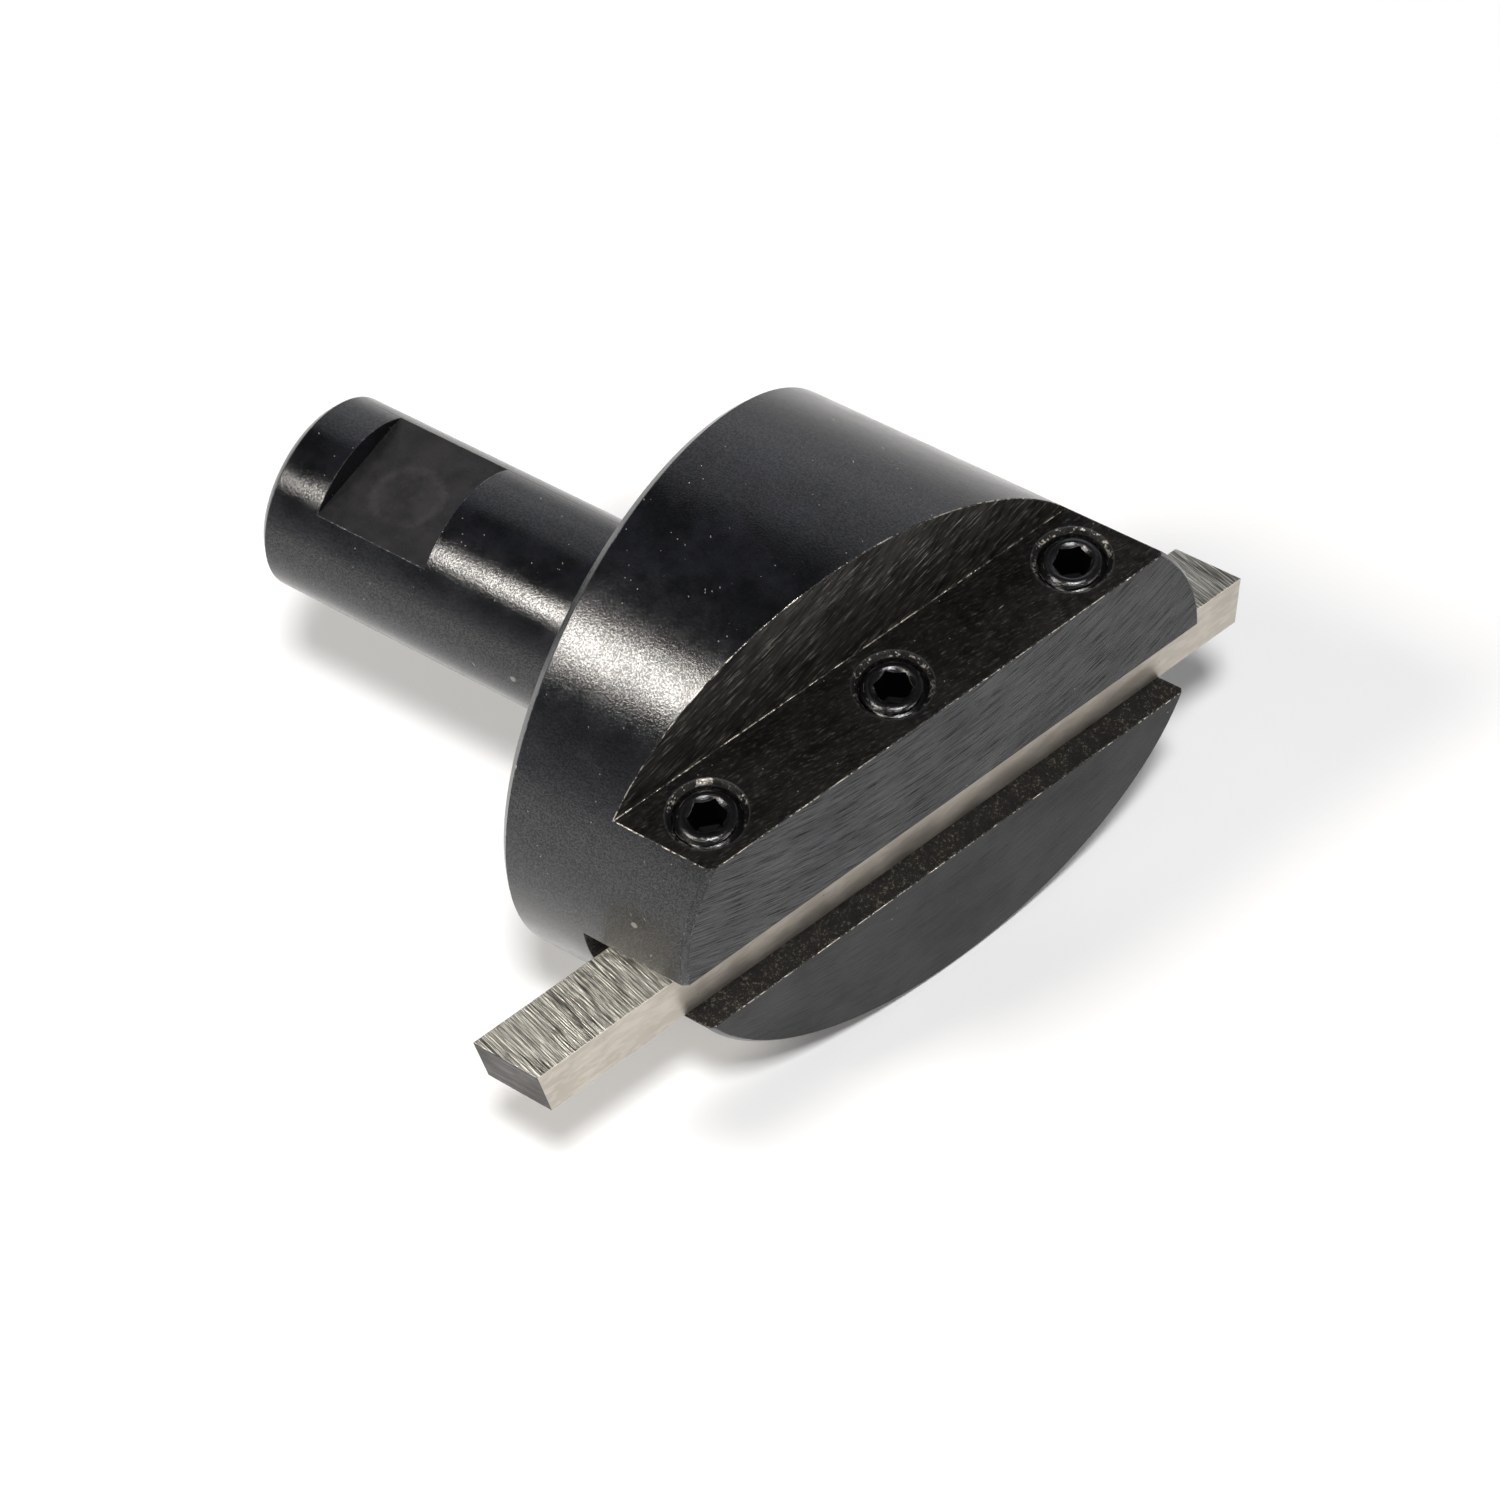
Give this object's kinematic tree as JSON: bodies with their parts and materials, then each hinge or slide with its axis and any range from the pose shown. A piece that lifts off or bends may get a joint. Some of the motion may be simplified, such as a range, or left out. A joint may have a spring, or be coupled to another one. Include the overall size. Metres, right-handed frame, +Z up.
{
  "type": "fly cutter",
  "caption": "Milling fly cutter: straight side-lock shank, round black head with a slanted slot that clamps a square tool bit under hexagon socket set screws.",
  "frame": {"origin": "on the tool's axis, in the shoulder where the shank meets the back of the head", "axes": "X is the tool's axis with the shank at -X and the cutting side at +X; +Z is up, square to the side-lock flat and to the face that the set screws go in; +Y points to the cutting end of the tool bit"},
  "size_m": [0.0774, 0.074, 0.054],
  "materials": {
    "black_oxide_steel": "black oxide on turned and milled steel, semi-gloss",
    "ground_tool_steel": "ground high speed steel, bright",
    "screw_steel": "black oxide alloy steel, glossy"
  },
  "bodies": {
    "holder": {"holder_body": "black_oxide_steel"},
    "bit": {"tool_bit": "ground_tool_steel"},
    "screw_tail": {"set_screw_tail": "screw_steel"},
    "screw_middle": {"set_screw_middle": "screw_steel"},
    "screw_tip": {"set_screw_tip": "screw_steel"}
  },
  "joints": [
    {"name": "bit_slide", "type": "slide", "parent": "holder", "child": "bit", "axis": [0.3256, 0.9455, 0], "range_m": [-0.012, 0.018]},
    {"name": "screw_tail_travel", "type": "slide", "parent": "holder", "child": "screw_tail", "axis": [0, 0, 1], "range_m": [0, 0.012]},
    {"name": "screw_middle_travel", "type": "slide", "parent": "holder", "child": "screw_middle", "axis": [0, 0, 1], "range_m": [0, 0.012]},
    {"name": "screw_tip_travel", "type": "slide", "parent": "holder", "child": "screw_tip", "axis": [0, 0, 1], "range_m": [0, 0.012]}
  ]
}
